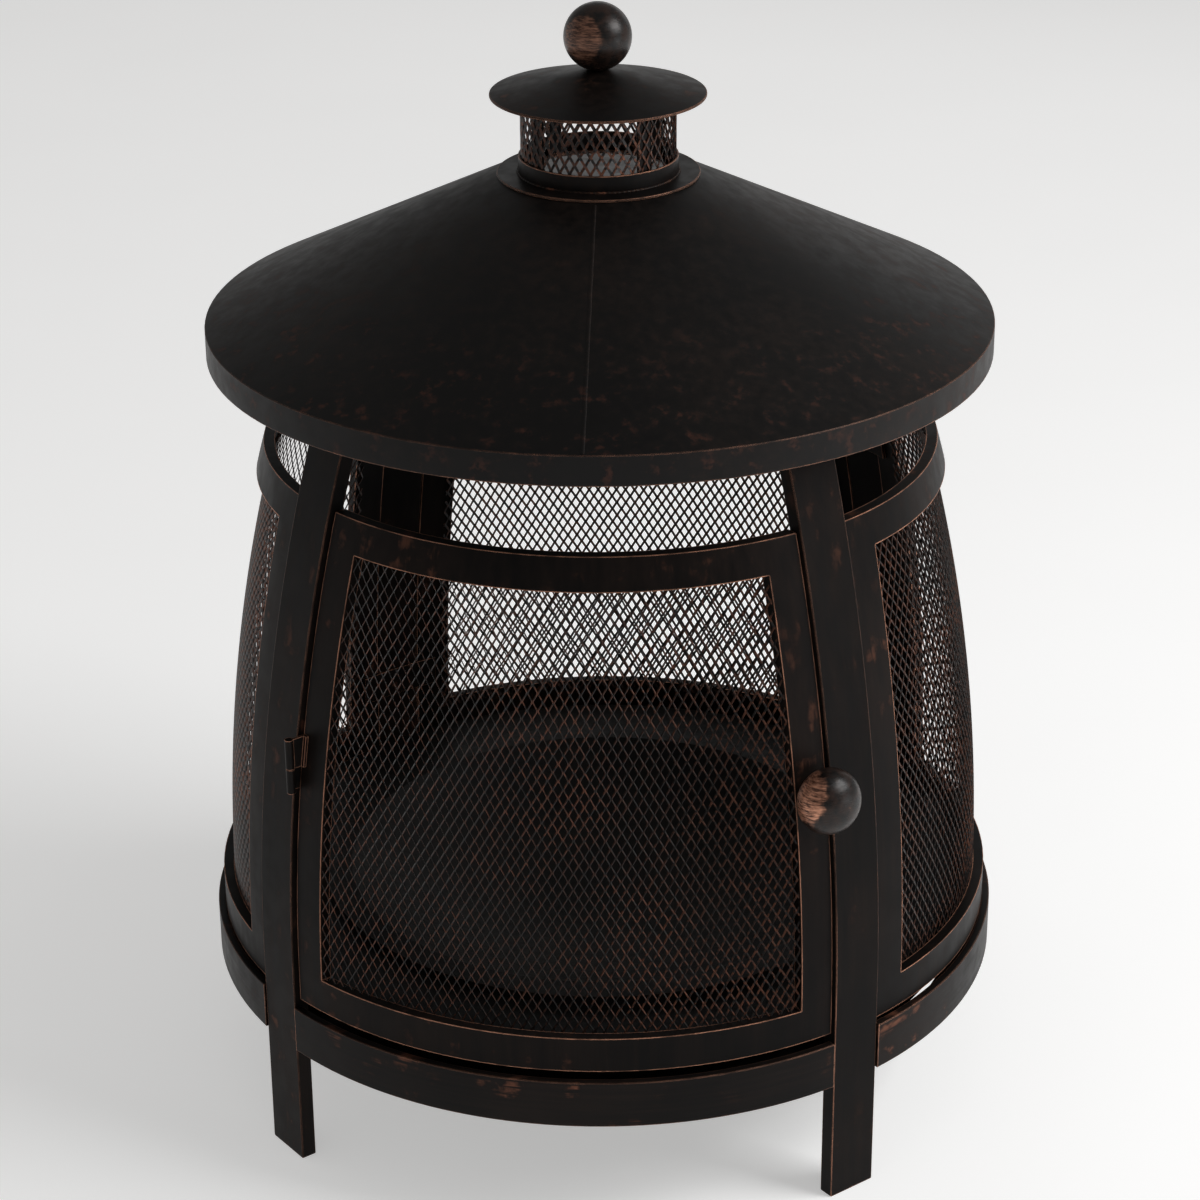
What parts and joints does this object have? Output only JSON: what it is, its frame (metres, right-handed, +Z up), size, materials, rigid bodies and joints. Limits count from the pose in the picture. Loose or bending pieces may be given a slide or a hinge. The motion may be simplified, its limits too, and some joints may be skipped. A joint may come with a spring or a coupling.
{
  "type": "chiminea",
  "caption": "Round mesh-sided garden chiminea on bowed flat-bar legs, with a hinged curved mesh door, fire bowl, cone roof, capped mesh chimney and ball finial.",
  "frame": {"origin": "centre of the circle of legs, at ground level", "axes": "+Z up, -Y through the middle of the door, +X to the right of someone facing the door"},
  "size_m": [0.633, 0.633, 0.8679],
  "materials": {
    "bronze_paint": "dark antique bronze paint, satin, rubbed to copper on the edges",
    "mesh_paint": "dark bronze paint on expanded metal, copper highlights on the strands",
    "worn_copper": "dark bronze paint rubbed through to brushed copper in patches",
    "bowl_paint": "matt black heat-proof paint",
    "dark_hardware": "blackened steel"
  },
  "bodies": {
    "stand": {"front_left_leg": "bronze_paint", "front_right_leg": "bronze_paint", "back_right_leg": "bronze_paint", "back_left_leg": "bronze_paint", "front_band": "bronze_paint", "right_band": "bronze_paint", "back_band": "bronze_paint", "left_band": "bronze_paint", "left_panel_frame": "bronze_paint", "left_panel_mesh": "mesh_paint", "right_panel_frame": "bronze_paint", "right_panel_mesh": "mesh_paint", "back_panel_frame": "bronze_paint", "back_panel_mesh": "mesh_paint", "front_left_tabs": "bronze_paint", "front_right_tabs": "bronze_paint", "back_right_tabs": "bronze_paint", "back_left_tabs": "bronze_paint", "hinge_leg_knuckle": "worn_copper", "hinge_pin": "dark_hardware", "door_stop_low": "bronze_paint", "door_stop_up": "bronze_paint", "fire_bowl": "bowl_paint", "base_plate": "bowl_paint", "base_skirt": "bowl_paint", "front_left_bracket": "bronze_paint", "front_right_bracket": "bronze_paint", "back_right_bracket": "bronze_paint", "back_left_bracket": "bronze_paint", "roof": "bronze_paint", "front_left_roof_tab": "bronze_paint", "front_right_roof_tab": "bronze_paint", "back_right_roof_tab": "bronze_paint", "back_left_roof_tab": "bronze_paint", "roof_bolts": "dark_hardware", "roof_nuts": "dark_hardware", "roof_flange": "bronze_paint", "chimney_collar": "bronze_paint", "chimney_mesh": "mesh_paint", "front_left_chimney_post": "bronze_paint", "front_right_chimney_post": "bronze_paint", "back_right_chimney_post": "bronze_paint", "back_left_chimney_post": "bronze_paint", "cap_spider": "bronze_paint", "chimney_cap": "bronze_paint", "finial_ball": "worn_copper", "finial_stud": "dark_hardware", "finial_nut": "dark_hardware"},
    "door": {"door_frame": "bronze_paint", "door_mesh": "mesh_paint", "hinge_door_knuckle": "worn_copper"},
    "latch": {"door_knob": "worn_copper", "knob_stem": "dark_hardware", "latch_tab": "dark_hardware", "latch_nut": "dark_hardware"}
  },
  "joints": [
    {"name": "door_hinge", "type": "hinge", "parent": "stand", "child": "door", "pos_m": [-0.20117, -0.23695, 0.345], "axis": [0, 0, -1], "range_deg": [0, 110]},
    {"name": "knob_turn", "type": "hinge", "parent": "door", "child": "latch", "pos_m": [0.18579, -0.23473, 0.349], "axis": [-0.6152, 0.7772, -0.1324], "range_deg": [0, 90]}
  ]
}
